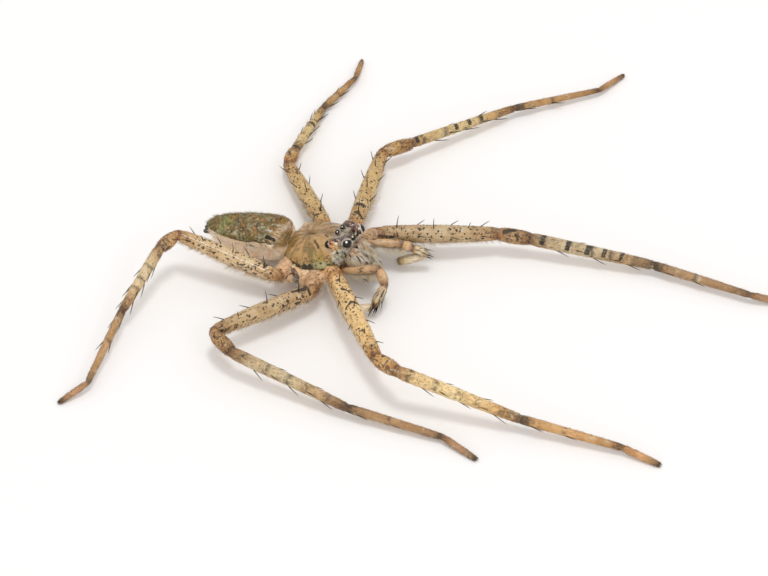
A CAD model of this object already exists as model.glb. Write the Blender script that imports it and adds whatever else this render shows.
import math
from types import SimpleNamespace

import bpy
import numpy as np
from mathutils import Euler, Matrix, Vector


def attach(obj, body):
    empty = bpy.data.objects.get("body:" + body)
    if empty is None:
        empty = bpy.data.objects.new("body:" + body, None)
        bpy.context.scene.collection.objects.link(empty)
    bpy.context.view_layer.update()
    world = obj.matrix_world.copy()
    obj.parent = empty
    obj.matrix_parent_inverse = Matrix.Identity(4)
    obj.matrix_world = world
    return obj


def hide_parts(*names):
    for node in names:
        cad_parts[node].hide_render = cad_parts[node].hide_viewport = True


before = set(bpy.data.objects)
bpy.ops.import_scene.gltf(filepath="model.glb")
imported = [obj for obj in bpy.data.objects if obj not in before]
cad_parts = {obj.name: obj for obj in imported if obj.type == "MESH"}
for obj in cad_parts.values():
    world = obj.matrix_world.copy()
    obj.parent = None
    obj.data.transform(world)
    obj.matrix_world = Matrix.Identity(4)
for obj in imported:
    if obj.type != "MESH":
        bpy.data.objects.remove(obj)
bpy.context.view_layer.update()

MM = 0.001
# Limbs share one pattern, each this far along it
LAYOUT_STEP = 100.0
# Places of the body frame and the camera in the part's frame
BODY_AT = Vector((-7.8, -5.8, 0.0))
CAMERA_AT = Vector((89.4, -190.1, 215.8))
# How far a foot's soft skin is pressed into the floor
FOOT_SINK = 0.05

# Lengths of a leg's parts and the greatest thickness of its femur, by pair
LEG_SIZES = {
    1: dict(femur=12.0, patella=3.35, tibia=12.5, metatarsus=10.2, tarsus=3.85, thick=1.8),
    2: dict(femur=11.45, patella=3.35, tibia=12.65, metatarsus=9.75, tarsus=4.0, thick=1.7),
    3: dict(femur=10.6, patella=2.3, tibia=7.85, metatarsus=5.85, tarsus=3.35, thick=1.6),
    4: dict(femur=11.05, patella=2.5, tibia=7.6, metatarsus=9.15, tarsus=3.3, thick=1.65),
}
PARTS = ["femur", "patella", "tibia", "metatarsus", "tarsus"]
# Radius of each part at its start and end, and its swelling, as shares of the thickness
GIRTH = {
    "femur": (0.47, 0.39, 0.09),
    "patella": (0.4, 0.38, 0.05),
    "tibia": (0.38, 0.28, 0.02),
    "metatarsus": (0.27, 0.19, 0.012),
    "tarsus": (0.19, 0.15, 0.02),
}
# How light each leg is, and how much thinner from the tibia on
LIGHT = {"l1": 0.85, "r1": 1.32, "l2": 1.0, "r2": 0.92, "l3": 1.03, "r4": 1.12}
SLIM = {"l1": 1.0, "r1": 1.0, "l2": 0.85, "r2": 1.0, "l3": 0.88, "r4": 0.94}
# Pair, coxa root, femur base, bearings and climbs of the parts, and how warm the coat is
LEGS = {
    "l1": (1, (-5.2, 1.5, 2.1), (-2.52, 3.82, 3.12),
           (31.5, 18.7, 15.6, 4.7, 20), (-3.8, -3.2, -5.0, -0.8), 0.15),
    "r1": (1, (-5.2, -1.8, 2.1), (-3.62, -3.58, 3.11),
           (-42.0, -23.2, 11.1, 10.6, 1.1), (1.3, 16.0, -13.3, -4.1), 0.7),
    "l2": (2, (-6.6, 1.5, 1.85), (-5.69, 4.25, 2.33),
           (103, 54.2, 58.2, 47.5, 74.1), (-1.1, -1.6, -4.3, -2.3), 0.85),
    "r2": (2, (-6.6, -2.4, 1.85), (-5.05, -5.57, 2.29),
           (-120.4, -23.4, 0.1, 8.4, -10.5), (2.3, -2.4, -6.7, -3.3), 0.2),
    "l3": (3, (-8.0, 1.4, 1.75), (-8.29, 3.12, 2.2),
           (140.4, 100.6, 96.8, 82, 106.3), (-3.9, -1.9, -5.9, 0.6), 0.9),
    "r4": (4, (-9.1, -2.3, 1.75), (-8.9, -5.71, 2.58),
           (-174.2, -104.2, -90.5, -80.8, -117.7), (9.7, -4.8, -16.9, -6.6), 0.1),
}
# Coxae of the two lost legs: root and tip
STUMPS = [((-7.9, -2.4, 1.75), (-7.45, -4.1, 2.0)), ((-9.2, 1.1, 1.75), (-9.65, 2.05, 1.85))]
COXA_RADIUS = 0.84
# Middle line of the body
TRUNK_Y = -0.45
# Folded flesh between the shield and the legs: middle and half sizes
FLESH = [
    (-4.6, -2.9, 2.35, (0.9, 0.9, 0.75)), (-5.6, -3.7, 1.95, (0.95, 1.35, 0.85)),
    (-6.5, -3.6, 1.75, (0.9, 1.3, 0.9)), (-7.4, -3.6, 1.75, (1.0, 1.1, 0.9)),
    (-8.4, -4.0, 1.85, (0.9, 1.4, 0.85)), (-9.1, -3.4, 1.95, (0.8, 1.2, 0.8)),
    (-4.3, 2.3, 2.3, (0.9, 1.1, 0.75)), (-6.0, 2.9, 2.0, (1.0, 1.1, 0.8)),
    (-7.9, 2.3, 1.9, (1.0, 0.9, 0.8)),
]

# Head shield: where along its length, half width, rim, top and underside heights
SHIELD_AT = Vector((-7.0, TRUNK_Y, 2.5))
# In degrees
SHIELD_HEADING, SHIELD_PITCH = 4, 8
SHIELD = [
    (-3.75, 0.4, 0.15, 0.25, 0.05),
    (-3.6, 1.1, 0.1, 0.4, -0.05),
    (-2.9, 2.35, -0.05, 1.1, -0.35),
    (-1.9, 3.1, -0.15, 1.75, -0.45),
    (-0.7, 3.3, 0.0, 2.2, -0.4),
    (0.5, 3.15, 0.1, 2.6, -0.35),
    (1.5, 2.75, 0.25, 2.95, -0.15),
    (2.4, 2.4, 0.5, 3.15, 0.15),
    (3.1, 2.1, 0.95, 3.15, 0.6),
    (3.6, 1.5, 1.5, 2.85, 1.15),
    (3.75, 0.8, 1.9, 2.4, 1.6),
]

# Abdomen: the same measures from its tip to its blunt front
ABDOMEN_AT = Vector((-10.15, -0.6, 2.7))
# In degrees: to the left, and over to its side
ABDOMEN_HEADING, ABDOMEN_LEAN = 14, 15.6
ABDOMEN = [
    (-8.7, 0.35, -0.1, 0.2, -0.7),
    (-8.45, 0.85, -0.1, 0.5, -1.4),
    (-7.5, 1.4, 0.0, 0.9, -2.1),
    (-6.0, 1.85, 0.1, 1.2, -2.45),
    (-4.2, 2.1, 0.15, 1.45, -2.5),
    (-2.4, 2.15, 0.2, 1.75, -2.45),
    (-0.8, 2.05, 0.2, 1.9, -2.0),
    (-0.12, 1.85, 0.15, 1.8, -1.6),
    (0.08, 1.3, 0.1, 1.35, -1.0),
]

# The head is turned a little to the right: what is on its left lies further forwards
HEAD_MIDDLE, HEAD_TURN = -0.1, 0.09
# Eyes on the left side: middle, radius and the way each looks
EYES = {
    "ame": ((-3.25, 0.27, 5.95), 0.3, (1.0, 0.3, 0.35)),
    "ale": ((-3.38, 1.16, 5.85), 0.5, (0.7, 0.75, 0.3)),
    "pme": ((-4.88, 0.45, 6.05), 0.25, (-0.1, 0.45, 1.0)),
    "ple": ((-5.05, 1.66, 5.27), 0.47, (-0.75, 0.8, 0.25)),
}
SIDES = {"r": -1, "l": 1}
# Ends of the left jaw's axis
JAW = dict(base=(-3.4, 0.78, 4.2), tip=(-1.35, 0.7, 2.0))
# Palps: points from the lobe beside the mouth to the tip
PALPS = {
    "r": [(-4.2, -1.0, 1.9), (-3.3, -2.2, 2.9), (-0.09, -0.87, 3.55), (0.98, -1.64, 2.4),
          (0.82, -3.67, 1.2), (-0.95, -4.9, 0.75)],
    "l": [(-4.2, 0.8, 1.9), (-3.1, 2.2, 3.1), (0.14, 3.62, 3.1), (1.1, 3.9, 2.7),
          (2.7, 4.6, 2.0), (-0.05, 2.95, 1.05)],
}
# Radii at the start, middle and end of each run of a palp
PALP_GIRTH = [(0.4, 0.42, 0.36), (0.36, 0.46, 0.44), (0.46, 0.55, 0.47), (0.44, 0.48, 0.46),
              (0.38, 0.47, 0.42)]


# Making shapes

def deselect():
    """Leaves edit mode with nothing selected."""
    if bpy.context.object and bpy.context.object.mode == "EDIT":
        bpy.ops.object.mode_set(mode="OBJECT")
    bpy.ops.object.select_all(action="DESELECT")


def choose(*objects):
    """Selects these objects alone, the first of them active."""
    deselect()
    for piece in objects:
        piece.select_set(True)
    bpy.context.view_layer.objects.active = objects[0]


def points_of(piece):
    """The piece's corners as rows of numbers."""
    co = np.empty(len(piece.data.vertices) * 3)
    piece.data.vertices.foreach_get("co", co)
    return co.reshape(-1, 3)


def pick(piece, chosen):
    """Selects the corners marked in a row of yes and no, in edit mode."""
    choose(piece)
    bpy.ops.object.mode_set(mode="EDIT")
    bpy.ops.mesh.select_mode(type="VERT")
    bpy.ops.mesh.select_all(action="DESELECT")
    bpy.ops.object.mode_set(mode="OBJECT")
    piece.data.vertices.foreach_set("select", np.asarray(chosen, bool))
    bpy.ops.object.mode_set(mode="EDIT")


def ring_of(piece, first, sides):
    """Marks the corners of one ring, from its first corner on."""
    index = np.arange(len(piece.data.vertices))
    return (index >= first) & (index < first + sides)


def tube(name, rings, sides):
    """Open tube up the Z axis, extruded from ring to ring of (height, half width, half depth).
    A round ring goes without its half depth."""
    deselect()
    rings = [(*ring, ring[-1])[:3] for ring in rings]
    height, wide, deep = rings[0]
    bpy.ops.mesh.primitive_circle_add(vertices=sides, radius=1.0)
    piece = bpy.context.object
    piece.name = name
    bpy.ops.object.mode_set(mode="EDIT")
    bpy.ops.transform.translate(value=(0, 0, height))
    bpy.ops.transform.resize(value=(wide, deep, 1), center_override=(0, 0, height))
    for (z0, w0, d0), (z1, w1, d1) in zip(rings, rings[1:]):
        bpy.ops.mesh.extrude_region_move(TRANSFORM_OT_translate={"value": (0, 0, z1 - z0)})
        bpy.ops.transform.resize(value=(w1 / w0, d1 / d0, 1), center_override=(0, 0, z1))
    bpy.ops.object.mode_set(mode="OBJECT")
    return piece


def lay_along(piece, start, way, up=(0, 0, 1)):
    """Turns a piece made up the Z axis along a way from a point, its Y side upwards."""
    way = Vector(way).normalized()
    side = Vector(up).cross(way).normalized()
    turn = Matrix((side, way.cross(side), way)).transposed()
    piece.matrix_world = Matrix.Translation(Vector(start)) @ turn.to_4x4()
    choose(piece)
    bpy.ops.object.transform_apply(location=True, rotation=True, scale=True)
    return piece


def join(pieces, name):
    """Joins pieces into one, under a new name."""
    choose(*pieces)
    if len(pieces) > 1:
        bpy.ops.object.join()
    bpy.context.object.name = name
    return bpy.context.object


def close_ends(piece, last, sides):
    """Fills the first ring of a tube and the one that starts at a corner, and turns all outwards."""
    for first in (0, last):
        pick(piece, ring_of(piece, first, sides))
        bpy.ops.mesh.edge_face_add()
        bpy.ops.object.mode_set(mode="OBJECT")
    return outward(piece)


def capped(name, rings, sides):
    """Tube closed at both ends."""
    return close_ends(tube(name, rings, sides), (len(rings) - 1) * sides, sides)


def chain(name, tubes, sides):
    """Joins tubes end to end, bridges each joint and closes both ends."""
    whole = tubes[0]
    last = len(whole.data.vertices) - sides
    for piece in tubes[1:]:
        first, size = len(whole.data.vertices), len(piece.data.vertices)
        whole = join([whole, piece], name)
        pick(whole, ring_of(whole, last, sides) | ring_of(whole, first, sides))
        bpy.ops.mesh.bridge_edge_loops(number_cuts=2, interpolation="PATH", smoothness=0.7)
        bpy.ops.object.mode_set(mode="OBJECT")
        last = first + size - sides
    whole.name = name
    return close_ends(whole, last, sides)


def outward(piece):
    """Turns every face outwards."""
    choose(piece)
    bpy.ops.object.mode_set(mode="EDIT")
    bpy.ops.mesh.select_all(action="SELECT")
    bpy.ops.mesh.normals_make_consistent(inside=False)
    bpy.ops.object.mode_set(mode="OBJECT")
    return piece


def modify(piece, kind, **settings):
    """Applies one modifier to a piece."""
    step = piece.modifiers.new("step", kind)
    for key, value in settings.items():
        setattr(step, key, value)
    bpy.ops.object.modifier_apply(modifier=step.name)


def rounded(piece, levels=2):
    """Rounds a piece with a subdivision surface and shades it smooth."""
    choose(piece)
    modify(piece, "SUBSURF", levels=levels, render_levels=levels)
    bpy.ops.object.shade_smooth()
    return piece


def drag(piece, near, by, reach, falloff="SMOOTH"):
    """Drags the surface by a small way at a point, fading out to a reach."""
    away = np.linalg.norm(points_of(piece) - np.array(near), axis=1)
    pick(piece, away <= away.min() + 1e-9)
    bpy.ops.transform.translate(
        value=by, use_proportional_edit=True, proportional_edit_falloff=falloff,
        proportional_size=reach,
    )
    bpy.ops.object.mode_set(mode="OBJECT")


def vault(name, stations, sides, shoulder, lean):
    """Domed tube of stations (height, half width, rim, top, underside), its Y side upwards."""
    piece = tube(name, [(x, wide, top - rim) for x, wide, rim, top, _ in stations], sides)
    co = points_of(piece)
    bearing = np.degrees(np.arctan2(co[:, 1], np.abs(co[:, 0]) + 1e-9))
    ring = np.arange(len(co)) // sides
    for i, (x, wide, rim, top, under) in enumerate(stations):
        pick(piece, (ring == i) & (bearing < -1))
        bpy.ops.transform.resize(
            value=(1, (rim - under) / (top - rim), 1), center_override=(0, 0, x))
        pick(piece, (ring == i) & (bearing > 20) & (bearing < 75))
        bpy.ops.transform.resize(value=(shoulder, shoulder, 1), center_override=(0, 0, x))
        pick(piece, ring == i)
        bpy.ops.transform.translate(value=(0, rim, 0))
        bpy.ops.transform.rotate(
            value=math.radians(lean), orient_axis="X", center_override=(0, 0, x))
        bpy.ops.object.mode_set(mode="OBJECT")
    return close_ends(piece, (len(stations) - 1) * sides, sides)


# Notes on a skin, and hair that grows from it

# Notes that a place on a skin reads: its layout, its share along a limb, its height over a rim
NOTES = ("limb", "share", "above")
# Least height of a hair over the floor
FLOOR_GAP = 0.03
# Margin of the unwrap, and the width and length of a hair on it
UNWRAP_EDGE, UNWRAP_WIDE, UNWRAP_LONG = 0.002, 0.001, 0.0028


def note(piece, name, values, kind="FLOAT_VECTOR"):
    """Stores a value at each corner of a piece, for its finish to read."""
    layer = piece.data.attributes.new(name, kind, "POINT")
    field = {"FLOAT_VECTOR": "vector", "FLOAT": "value", "FLOAT_COLOR": "color"}[kind]
    layer.data.foreach_set(field, np.ascontiguousarray(values, np.float32).ravel())


def unit(rows):
    """Rows of length one."""
    rows = np.asarray(rows, float)
    return rows / np.maximum(np.linalg.norm(rows, axis=-1, keepdims=True), 1e-9)


def frames_along(joints):
    """Start, way, side, up and length of each run between joints."""
    runs = []
    for start, end in zip(joints, joints[1:]):
        way = (end - start).normalized()
        side = Vector((0, 0, 1)).cross(way).normalized()
        runs.append((start, way, side, way.cross(side), (end - start).length))
    return runs


def note_limb(piece, joints, before, number, warm):
    """Stores each corner's place on the limb laid out straight, and the part it is on."""
    co = points_of(piece)
    best = np.full(len(co), 1e9)
    limb = np.zeros((len(co), 3))
    share = np.zeros(len(co))
    start_at = -before
    for part, (start, way, side, up, length) in enumerate(frames_along(joints)):
        off = co - np.array(start)
        along = off @ np.array(way)
        held = np.clip(along, 0, length)
        away = np.linalg.norm(off - held[:, None] * np.array(way), axis=1)
        near = away < best
        best[near] = away[near]
        spot = np.stack([start_at + along, off @ np.array(side), off @ np.array(up)], 1)
        limb[near] = spot[near]
        share[near] = part + held[near] / length
        start_at += length
    note(piece, "limb", limb)
    note(piece, "grain", limb + [LAYOUT_STEP * number, 0, 0])
    note(piece, "share", share, "FLOAT")
    note(piece, "warm", np.full(len(co), warm), "FLOAT")


def triangles_in_order(piece, co):
    """The skin's triangles, in an order that depends on their places alone."""
    rank = np.empty(len(co), int)
    rank[np.lexsort(np.round(co, 3).T)] = np.arange(len(co))
    rows = []
    for face in piece.data.polygons:
        ring = list(face.vertices)
        first = ring.index(min(ring, key=lambda k: rank[k]))
        ring = ring[first:] + ring[:first]
        rows += [(ring[0], a, b) for a, b in zip(ring[1:], ring[2:])]
    rows = np.array(rows)
    return rows[np.lexsort(rank[rows].T[::-1])]


def only(spots, held):
    """The spots where a row of yes and no says yes."""
    return SimpleNamespace(**{key: value[held] for key, value in vars(spots).items()})


def scatter(piece, count, seed, keep=None):
    """Random places on a skin: where, the way out, and the notes stored there."""
    rng = np.random.default_rng(seed)
    mesh = piece.data
    co = points_of(piece)
    corners = triangles_in_order(piece, co)
    out = np.empty(len(co) * 3)
    mesh.vertices.foreach_get("normal", out)
    out = out.reshape(-1, 3)
    a, b, c = (co[corners[:, k]] for k in range(3))
    area = np.linalg.norm(np.cross(b - a, c - a), axis=1)
    face = rng.choice(len(corners), count, p=area / area.sum())
    u, v = rng.random(count), rng.random(count)
    fold = u + v > 1
    u[fold], v[fold] = 1 - u[fold], 1 - v[fold]
    part = np.stack([1 - u - v, u, v], 1)[:, :, None]
    spots = {"at": (co[corners[face]] * part).sum(1), "out": unit((out[corners[face]] * part).sum(1))}
    for layer in mesh.attributes:
        if layer.name in NOTES:
            wide, field = (3, "vector") if layer.data_type == "FLOAT_VECTOR" else (1, "value")
            values = np.empty(len(co) * wide)
            layer.data.foreach_get(field, values)
            values = (values.reshape(-1, wide)[corners[face]] * part).sum(1)
            spots[layer.name] = values if wide == 3 else values[:, 0]
    spots["luck"] = rng.random(count)
    spots["jitter"] = rng.normal(size=(count, 3))
    spots = SimpleNamespace(**spots)
    return spots if keep is None else only(spots, keep(spots))


def unwrap(limb, low, high):
    """Place on the skin's unwrap: round the limb, and along it."""
    round_it = np.arctan2(limb[:, 1], limb[:, 2]) / (2 * math.pi) + 0.5
    along = (limb[:, 0] - low) / (high - low)
    return np.clip(np.stack([round_it, along], 1), UNWRAP_EDGE, 1 - UNWRAP_EDGE)


def strands(name, at, way, sweep, length, width, root, tip, place, shares=(0.0, 0.5, 1.0)):
    """Joined mesh of fine tapered hairs, three-sided. Each leaves its root along its way and
    bends by its sweep; place is its root's place on the skin's unwrap."""
    at, way, sweep = (np.asarray(rows, float) for rows in (at, way, sweep))
    count = len(at)
    way = unit(way)
    length = np.broadcast_to(length, count)[:, None]
    width = np.broadcast_to(width, count)[:, None]
    root = np.broadcast_to(root, (count, 3))
    tip = np.broadcast_to(tip, (count, 3))
    side = unit(np.cross(way, [0.31, 0.22, 0.93]))
    other = np.cross(way, side)
    rings, colours, marks = [], [], []
    for share in shares:
        middle = at + length * (way * share + sweep * share * share)
        shade = root * (1 - share) + tip * share
        last = share == shares[-1]
        for k in range(1 if last else 3):
            angle = 2 * math.pi * k / 3
            reach = 0 if last else width * 0.5 * (1 - 0.6 * share)
            ring = middle + reach * (side * math.cos(angle) + other * math.sin(angle))
            ring[:, 2] = np.maximum(ring[:, 2], FLOOR_GAP)
            rings.append(ring)
            colours.append(shade)
            marks.append(place + [UNWRAP_WIDE * (k - 1), UNWRAP_LONG * (share - 0.5)])
    per = len(rings)
    corners = [(0, 2, 1)]
    for level in range(len(shares) - 2):
        for k in range(3):
            a, b = 3 * level + k, 3 * level + (k + 1) % 3
            corners += [(a, b, b + 3), (a, b + 3, a + 3)]
    base = 3 * (len(shares) - 2)
    corners += [(base + k, base + (k + 1) % 3, per - 1) for k in range(3)]
    corners = np.array(corners)
    index = (np.arange(count)[:, None, None] * per + corners[None]).reshape(-1, 3)
    co = np.stack(rings, 1).reshape(-1, 3)
    mesh = bpy.data.meshes.new(name)
    mesh.vertices.add(len(co))
    mesh.vertices.foreach_set("co", co.astype(np.float32).ravel())
    mesh.loops.add(index.size)
    mesh.loops.foreach_set("vertex_index", index.astype(np.int32).ravel())
    mesh.polygons.add(len(index))
    mesh.polygons.foreach_set("loop_start", np.arange(0, index.size, 3, dtype=np.int32))
    mesh.update(calc_edges=True)
    marks = np.stack(marks, 1).reshape(-1, 2)
    sheet = mesh.uv_layers.new(name="OFBake")
    sheet.data.foreach_set("uv", marks[index.ravel()].astype(np.float32).ravel())
    piece = bpy.data.objects.new(name, mesh)
    bpy.context.scene.collection.objects.link(piece)
    shades = np.stack(colours, 1).reshape(-1, 3)
    note(piece, "tint", np.c_[shades, np.ones(len(shades))], "FLOAT_COLOR")
    mesh.polygons.foreach_set("use_smooth", np.ones(len(index), bool))
    return piece


def bring(piece, finish, slot, *nodes):
    """Brings a finished piece to metres in the part's frame, with its finish, on the body."""
    piece.matrix_world = Matrix.Translation(BODY_AT * MM) @ Matrix.Scale(MM, 4)
    choose(piece)
    bpy.ops.object.transform_apply(location=True, rotation=True, scale=True)
    piece.data.materials.clear()
    piece.data.materials.append(finish)
    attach(piece, "root")
    if nodes:
        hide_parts(*nodes)
    return piece


# Finishes

def paint(code):
    """Linear colour from a web colour."""
    parts = [int(code[k:k + 2], 16) / 255 for k in (1, 3, 5)]
    return tuple(p / 12.92 if p <= 0.04045 else ((p + 0.055) / 1.055) ** 2.4 for p in parts)


class Finish:
    """One material, built from nodes added one after another."""

    def __init__(self, name, **sockets):
        self.coat = None
        self.material = bpy.data.materials.new(name)
        self.material.use_nodes = True
        self.tree = self.material.node_tree
        self.shader = self.tree.nodes["Principled BSDF"]
        for socket, value in sockets.items():
            self.shader.inputs[socket.replace("_", " ")].default_value = value

    def add(self, kind, inputs=None, **settings):
        node = self.tree.nodes.new("ShaderNode" + kind)
        for key, value in settings.items():
            setattr(node, key, value)
        for key, value in (inputs or {}).items():
            self.put(node.inputs[key], value)
        return node

    def put(self, socket, value):
        if isinstance(value, bpy.types.NodeSocket):
            self.tree.links.new(value, socket)
        elif isinstance(value, tuple) and socket.type == "RGBA":
            socket.default_value = (*value[:3], 1.0)
        else:
            socket.default_value = value

    def read(self, name, output="Vector"):
        return self.add("Attribute", attribute_name=name).outputs[output]

    def place(self):
        """Place in the part's frame, in millimetres."""
        return self.vec("SCALE", self.add("TexCoord").outputs["Object"], c=1 / MM)

    def calc(self, way, a, b=0.0, c=None):
        node = self.add("Math", {0: a, 1: b}, operation=way)
        if c is not None:
            self.put(node.inputs[2], c)
        return node.outputs[0]

    def vec(self, way, a, b=(0, 0, 0), c=None):
        node = self.add("VectorMath", {0: a, 1: b}, operation=way)
        if way == "SCALE":
            self.put(node.inputs["Scale"], c)
        return node.outputs["Value" if way in ("DOT_PRODUCT", "LENGTH", "DISTANCE") else "Vector"]

    def split(self, vector):
        return self.add("SeparateXYZ", {0: vector}).outputs

    def unite(self, x, y, z=0.0):
        return self.add("CombineXYZ", {0: x, 1: y, 2: z}).outputs[0]

    def noise(self, vector, scale, detail=3.0, distortion=0.0, dims="3D", output="Fac"):
        node = self.add("TexNoise", {"Vector": vector, "Scale": scale, "Detail": detail,
                                     "Distortion": distortion}, noise_dimensions=dims)
        return node.outputs[output]

    def cells(self, vector, scale, dims):
        return self.add("TexVoronoi", {"Vector": vector, "Scale": scale}, voronoi_dimensions=dims)

    def waves(self, vector, scale, distortion, detail, detail_scale):
        node = self.add("TexWave", {"Vector": vector, "Scale": scale, "Distortion": distortion,
                                    "Detail": detail, "Detail Scale": detail_scale})
        return node.outputs["Fac"]

    def fade(self, value, low, high):
        """0 below low, 1 above high, and smooth between; falls where low is above high."""
        node = self.add("MapRange", {"Value": value}, interpolation_type="SMOOTHSTEP")
        ends = (low, high, 0.0, 1.0) if low < high else (high, low, 1.0, 0.0)
        for key, end in zip(("From Min", "From Max", "To Min", "To Max"), ends):
            node.inputs[key].default_value = end
        return node.outputs[0]

    def between(self, value, low, high, fall, end):
        """Rises from low to high and falls from fall to end."""
        return self.both(self.fade(value, low, high), self.fade(value, fall, end))

    def ramp(self, value, stops):
        node = self.add("ValToRGB", {"Fac": value})
        bar = node.color_ramp
        while len(bar.elements) > 1:
            bar.elements.remove(bar.elements[-1])
        for i, (place, colour) in enumerate(stops):
            stop = bar.elements[0] if i == 0 else bar.elements.new(place)
            stop.position = place
            shade = paint(colour) if isinstance(colour, str) else (colour,) * 3
            stop.color = (*shade, 1.0)
        return node.outputs["Color"]

    def mix(self, share, a, b, way="MIX"):
        node = self.add("Mix", {0: share}, data_type="RGBA", blend_type=way)
        for key, value in ((6, a), (7, b)):
            self.put(node.inputs[key], paint(value) if isinstance(value, str) else value)
        return node.outputs[2]

    def fold(self, way, values):
        result = values[0]
        for value in values[1:]:
            result = self.calc(way, result, value)
        return result

    def both(self, *masks):
        return self.fold("MULTIPLY", masks)

    def most(self, *masks):
        return self.fold("MAXIMUM", masks)

    def plus(self, a, b):
        return self.calc("ADD", a, b)

    def less(self, a, b):
        return self.calc("SUBTRACT", a, b)

    def lay(self, shade, *masks):
        """Lays a shade over the coat, as far as the product of the masks."""
        self.coat = self.mix(self.both(*masks), self.coat, shade)

    def stretch(self, vector, scales):
        return self.vec("MULTIPLY", vector, scales)

    def nudge(self, vector, off, reach):
        """Moves a place by a multiple of an offset."""
        return self.vec("ADD", vector, self.vec("SCALE", off, c=reach))

    def shift(self, vector, cloud, reach):
        """Moves a place to and fro by a cloud of colours."""
        return self.nudge(vector, self.vec("SUBTRACT", cloud, (0.5, 0.5, 0.5)), reach)

    def bump(self, height, depth, strength, under=None):
        inputs = {"Height": height, "Distance": depth, "Strength": strength}
        if under is not None:
            inputs["Normal"] = under
        return self.add("Bump", inputs).outputs[0]

    def done(self, colour, rough=None, normal=None):
        for key, value in (("Base Color", colour), ("Roughness", rough), ("Normal", normal)):
            if value is not None:
                self.put(self.shader.inputs[key], value)
        return self.material


def stroke(finish, flat, start, end, width):
    """Mask of a short thick line on a flat layout, its edges wavering."""
    run = Vector((*end, 0)) - Vector((*start, 0))
    off = finish.vec("SUBTRACT", flat, (*start, 0))
    share = finish.vec("DOT_PRODUCT", off, tuple(run / run.length_squared))
    share = finish.add("Clamp", {0: share}).outputs[0]
    back = finish.vec("SCALE", tuple(run), c=share)
    return finish.fade(finish.vec("DISTANCE", off, back), width * 0.62, width * 0.42)


# Coat along a leg: part number and share of its length, colour
LEG_COAT = [
    (0.0, "#e2bd98"), (0.9, "#dcb189"), (0.98, "#8a5f3c"), (1.02, "#c59a6a"), (1.1, "#d0b086"),
    (1.4, "#d1b68e"), (1.75, "#cfb186"), (1.92, "#c49e6e"), (1.965, "#b0804f"), (1.985, "#4f2c1a"),
    (2.01, "#a5703f"), (2.15, "#ba9062"), (2.5, "#bf9966"), (2.9, "#a0764a"), (2.98, "#5a3a22"),
    (3.03, "#a67d50"), (3.12, "#d2b78e"), (3.5, "#ddc9a3"), (3.85, "#c8a170"), (3.98, "#684629"),
    (4.03, "#6b5132"), (4.12, "#b58f62"), (4.5, "#c69c70"), (4.9, "#ac8256"), (4.98, "#6f4d30"),
    (5.06, "#a87e58"), (5.5, "#c79a72"), (5.85, "#8f6b47"), (6.0, "#33241a"),
]
# Dark marks near the base of a leg's femur: leg, ends as (mm along, degrees round), width
MARKS = [
    ("r2", (0.7, -60), (0.7, 62), 0.17), ("r2", (0.75, 4), (1.6, -2), 0.3),
    ("r2", (1.5, -2), (2.2, -10), 0.2),
    ("r4", (0.6, -52), (1.3, -22), 0.17), ("r4", (1.3, -22), (1.5, 12), 0.2),
    ("r4", (1.3, -22), (1.95, -38), 0.15),
    ("l1", (-0.1, -58), (1.3, -68), 0.14), ("r1", (2.6, -15), (3.2, 25), 0.14),
    ("r1", (5.2, -50), (4.7, 5), 0.14), ("r1", (4.7, 5), (5.0, 48), 0.2),
    ("l2", (0.9, -50), (1.3, 15), 0.2), ("l2", (2.4, -30), (2.5, 20), 0.26),
    ("l3", (1.2, 20), (1.5, 60), 0.14),
    ("l1", (16.5, -60), (16.65, 50), 0.26), ("l1", (19.1, -62), (19.2, 40), 0.3),
    ("l1", (21.1, -66), (21.35, 55), 0.34), ("l1", (22.8, -62), (22.9, 45), 0.26),
    ("l1", (24.5, -60), (24.75, 40), 0.22), ("l1", (12.6, -20), (13.6, 10), 0.3),
    ("l2", (15.3, -50), (15.4, 60), 0.24), ("l2", (20.1, -50), (20.2, 60), 0.26),
    ("l2", (21.7, -50), (21.8, 60), 0.26), ("l2", (23.2, -50), (23.3, 60), 0.24),
    ("l3", (12.9, -70), (13.0, 50), 0.22), ("l3", (17.3, -70), (17.4, 50), 0.26),
    ("l3", (20.5, -70), (20.6, 50), 0.22),
]
# Radius at which the skin of a leg is rolled out flat
LEG_WIDE = 0.75
LEG_NUMBER = {name: number for number, name in enumerate(LEGS)}
# Dots and marks
INK = "#1c130c"


def dots(finish, place, size, low, spread, some, dims="2D"):
    """Mask of round dots of many sizes, on a flat layout or where balls in space meet the skin:
    cells a millimetre, least radius, spread of radii, and the share of cells left empty."""
    cell = finish.cells(place, size, dims)
    luck = finish.split(cell.outputs["Color"])
    radius = finish.calc("MULTIPLY_ADD", luck[0], spread * size, low * size)
    dot = finish.fade(finish.less(cell.outputs["Distance"], radius), 0.03 * size, -0.02 * size)
    return finish.both(dot, finish.fade(luck[1], some - 0.01, some + 0.01))


def squiggles(finish, flat, scale, width, dims="2D"):
    """Mask of thin crooked lines, where a cloudy pattern crosses its middle value."""
    cloud = finish.noise(flat, scale, 1.5, 0.5, dims=dims)
    away = finish.calc("ABSOLUTE", finish.less(cloud, 0.5))
    return finish.fade(away, width, width * 0.45)


def on_leg(name, *spots):
    """Spots of a leg's flat layout, from their millimetres along it and degrees round it."""
    before = LAYOUT_STEP * LEG_NUMBER[name]
    return [(before + place, math.radians(turn) * LEG_WIDE) for place, turn in spots]


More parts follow.
